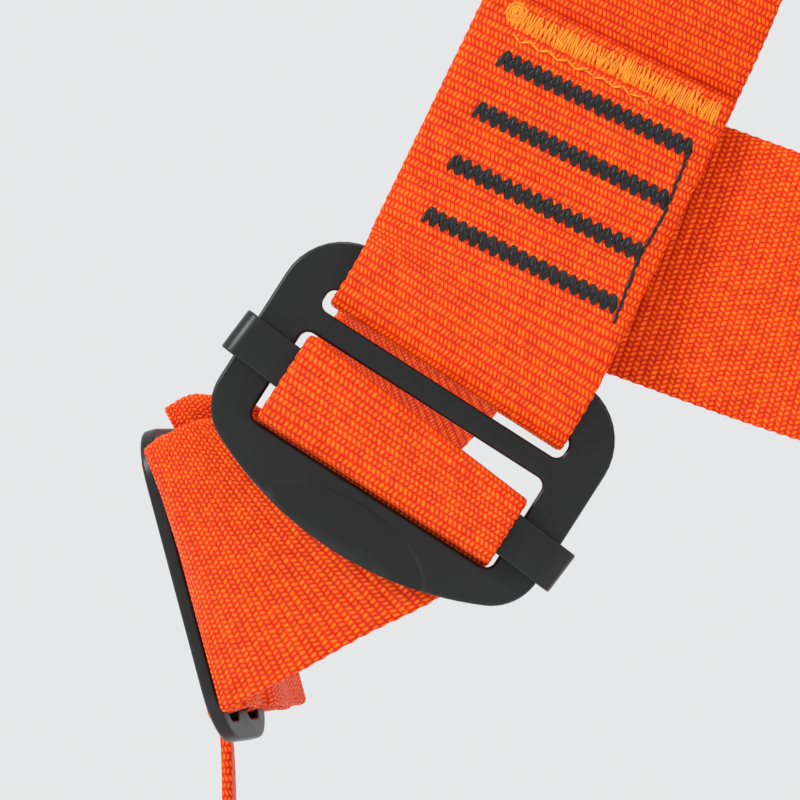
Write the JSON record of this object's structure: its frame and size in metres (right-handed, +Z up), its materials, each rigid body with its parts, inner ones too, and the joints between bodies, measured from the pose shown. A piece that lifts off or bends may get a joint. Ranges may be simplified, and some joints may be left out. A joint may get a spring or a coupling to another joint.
{
  "type": "safety harness",
  "caption": "Full body webbing harness in its worn shape, with slotted adjuster plates, floating bars, a chest buckle and a dorsal ring.",
  "frame": {"origin": "midway between the two shoulder straps, level with where their undersides rest on the wearer's shoulders", "axes": "+X towards the wearer's left, -Y towards the wearer's front, +Z up along the wearer"},
  "size_m": [0.3592, 0.2623, 0.6571],
  "materials": {
    "webbing": "woven orange polyester webbing with a soft sheen",
    "black_steel": "satin black coated pressed steel",
    "ring_steel": "zinc plated forged steel",
    "black_plastic": "moulded black plastic",
    "elastic": "black elastic band",
    "cover": "dark grey coated fabric"
  },
  "bodies": {
    "webbing": {"main_strap_right": "webbing", "adjuster_plate_right": "black_steel", "side_strap_right": "webbing", "side_tail_right": "webbing", "side_plate_right": "black_steel", "leg_riser_right": "webbing", "leg_strap_right": "webbing", "leg_tail_right": "webbing", "leg_adjuster_plate_right": "black_steel", "leg_keeper_right": "elastic", "chest_strap_right": "webbing", "main_strap_left": "webbing", "adjuster_plate_left": "black_steel", "side_strap_left": "webbing", "side_tail_left": "webbing", "side_plate_left": "black_steel", "leg_riser_left": "webbing", "leg_strap_left": "webbing", "leg_tail_left": "webbing", "leg_adjuster_plate_left": "black_steel", "leg_keeper_left": "elastic", "chest_strap_left": "webbing", "chest_buckle_frame": "black_steel", "dorsal_plate": "black_plastic", "ring_loop": "webbing", "seat_strap": "webbing", "label_cover": "cover"},
    "floating_bar_right": {"floating_bar_right": "black_steel", "bar_wrap_right": "webbing"},
    "leg_floating_bar_right": {"leg_floating_bar_right": "black_steel", "leg_bar_wrap_right": "webbing"},
    "floating_bar_left": {"floating_bar_left": "black_steel", "bar_wrap_left": "webbing"},
    "leg_floating_bar_left": {"leg_floating_bar_left": "black_steel", "leg_bar_wrap_left": "webbing"},
    "chest_tongue": {"chest_buckle_tongue": "black_steel"},
    "dorsal_ring": {"dorsal_ring": "ring_steel"}
  },
  "joints": [
    {"name": "bar_slide_right", "type": "slide", "parent": "webbing", "child": "floating_bar_right", "axis": [0.5391, 0, 0.8422], "range_m": [-0.001, 0.004], "deforming": ["bar_wrap_right"]},
    {"name": "leg_bar_slide_right", "type": "slide", "parent": "webbing", "child": "leg_floating_bar_right", "axis": [-0.9412, 0, 0.3379], "range_m": [-0.001, 0.004], "deforming": ["leg_bar_wrap_right"]},
    {"name": "bar_slide_left", "type": "slide", "parent": "webbing", "child": "floating_bar_left", "axis": [-0.5391, 0, 0.8422], "range_m": [-0.001, 0.004], "deforming": ["bar_wrap_left"]},
    {"name": "leg_bar_slide_left", "type": "slide", "parent": "webbing", "child": "leg_floating_bar_left", "axis": [0.9412, 0, 0.3379], "range_m": [-0.001, 0.004], "deforming": ["leg_bar_wrap_left"]},
    {"name": "tongue_tilt", "type": "hinge", "parent": "webbing", "child": "chest_tongue", "pos_m": [-0.028, -0.1096, -0.321], "axis": [0, 0, -1], "range_deg": [0, 12]},
    {"name": "ring_swing", "type": "hinge", "parent": "webbing", "child": "dorsal_ring", "pos_m": [0, 0.1355, -0.14], "axis": [1, 0, 0], "range_deg": [0, 165]}
  ]
}
